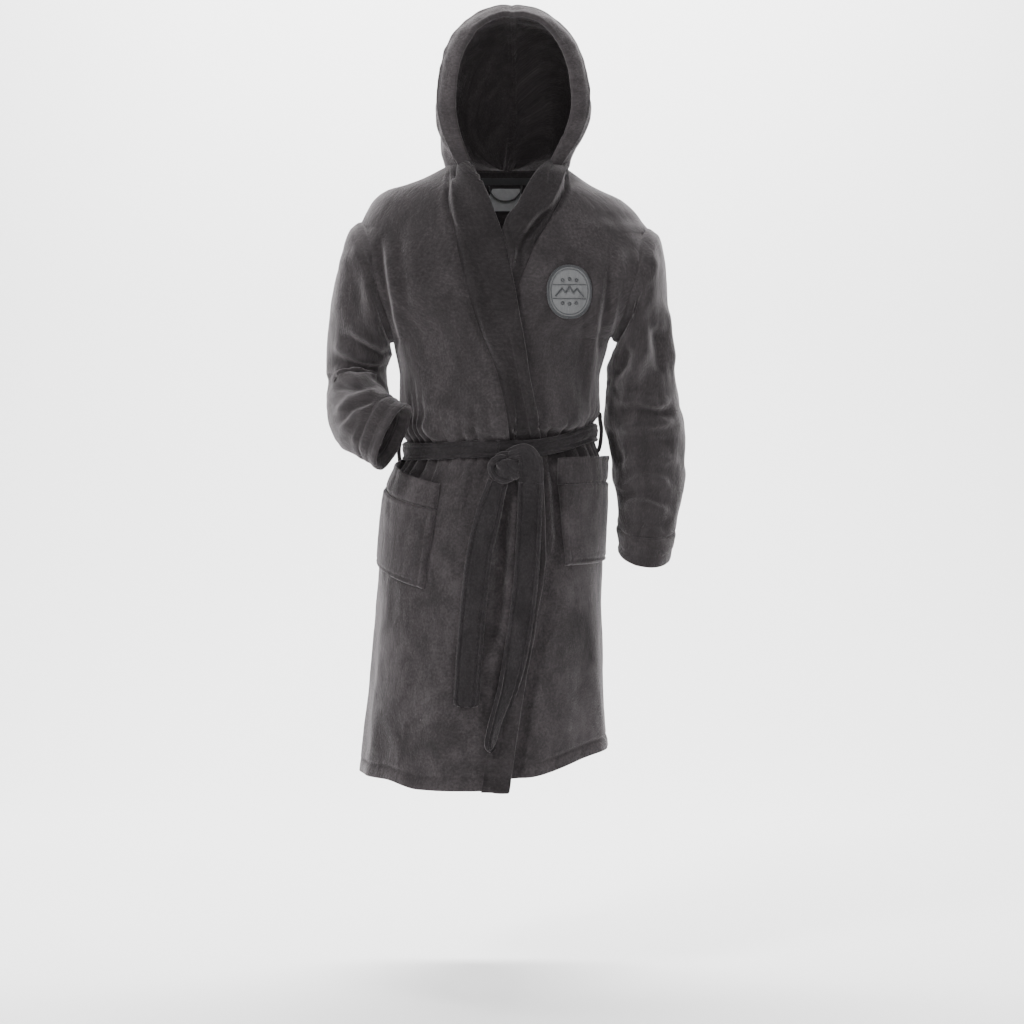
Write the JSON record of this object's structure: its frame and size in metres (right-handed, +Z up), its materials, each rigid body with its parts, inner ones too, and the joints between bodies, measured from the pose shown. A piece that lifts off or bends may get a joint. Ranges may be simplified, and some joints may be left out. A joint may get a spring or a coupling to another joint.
{
  "type": "bathrobe",
  "caption": "Charcoal fleece bathrobe with its hood up and its belt tied, in the hollow shape it has while worn.",
  "frame": {"origin": "middle of the neck opening, level with the neck seam, where a hanger or a wearer holds the robe up", "axes": "+Z up along the robe, from hem to hood; -Y towards the front; +X towards the wearer's left"},
  "size_m": [0.691, 0.3462, 1.4654],
  "materials": {
    "fleece": "plush charcoal fleece",
    "fleece_band": "doubled plush charcoal fleece",
    "belt_fleece": "doubled plush charcoal fleece",
    "tape": "woven cotton tape",
    "label": "blank woven satin",
    "badge_light": "silver-grey satin embroidery",
    "badge_dark": "slate satin embroidery"
  },
  "bodies": {
    "trunk": {"back_panel": "fleece", "right_front_panel": "fleece", "left_front_panel": "fleece", "right_front_band": "fleece_band", "left_front_band": "fleece_band", "right_pocket": "fleece", "right_pocket_band": "fleece_band", "left_pocket": "fleece", "left_pocket_band": "fleece_band", "belt_waist": "belt_fleece", "belt_knot": "belt_fleece", "belt_knot_loop": "belt_fleece", "right_belt_loop": "belt_fleece", "left_belt_loop": "belt_fleece", "hanging_loop": "tape", "neck_tape": "tape", "neck_label": "label", "badge_backing": "badge_light", "badge_motif": "badge_dark"},
    "hood": {"hood_right_panel": "fleece", "hood_left_panel": "fleece", "hood_edge_band": "fleece_band"},
    "right_sleeve": {"right_sleeve_upper": "fleece"},
    "right_forearm": {"right_sleeve_forearm": "fleece", "right_cuff": "fleece_band"},
    "left_sleeve": {"left_sleeve_upper": "fleece"},
    "left_forearm": {"left_sleeve_forearm": "fleece", "left_cuff": "fleece_band"},
    "left_tail": {"belt_tail_left": "belt_fleece"},
    "right_tail": {"belt_tail_right": "belt_fleece"}
  },
  "joints": [
    {"name": "hood_fold", "type": "hinge", "parent": "trunk", "child": "hood", "pos_m": [0, 0.1, 0.004], "axis": [-1, 0, 0], "range_deg": [0, 50]},
    {"name": "right_sleeve_swing", "type": "hinge", "parent": "trunk", "child": "right_sleeve", "pos_m": [-0.24995, 0, -0.2299], "axis": [-0.9429, 0, -0.333], "range_deg": [0, 60]},
    {"name": "right_elbow", "type": "hinge", "parent": "right_sleeve", "child": "right_forearm", "pos_m": [-0.3131, 0.10951, -0.3893], "axis": [0.788, 0.6157, 0], "range_deg": [0, 45]},
    {"name": "left_sleeve_swing", "type": "hinge", "parent": "trunk", "child": "left_sleeve", "pos_m": [0.24995, 0, -0.2299], "axis": [-0.9429, 0, 0.333], "range_deg": [-12, 60]},
    {"name": "left_elbow", "type": "hinge", "parent": "left_sleeve", "child": "left_forearm", "pos_m": [0.2685, -0.065, -0.4552], "axis": [-1, 0, 0], "range_deg": [0, 60]},
    {"name": "left_tail_swing", "type": "hinge", "parent": "trunk", "child": "left_tail", "pos_m": [0.048, -0.1575, -0.597], "axis": [-1, 0, 0], "range_deg": [0, 50]},
    {"name": "right_tail_swing", "type": "hinge", "parent": "trunk", "child": "right_tail", "pos_m": [-0.01, -0.1575, -0.597], "axis": [-1, 0, 0], "range_deg": [0, 50]}
  ]
}
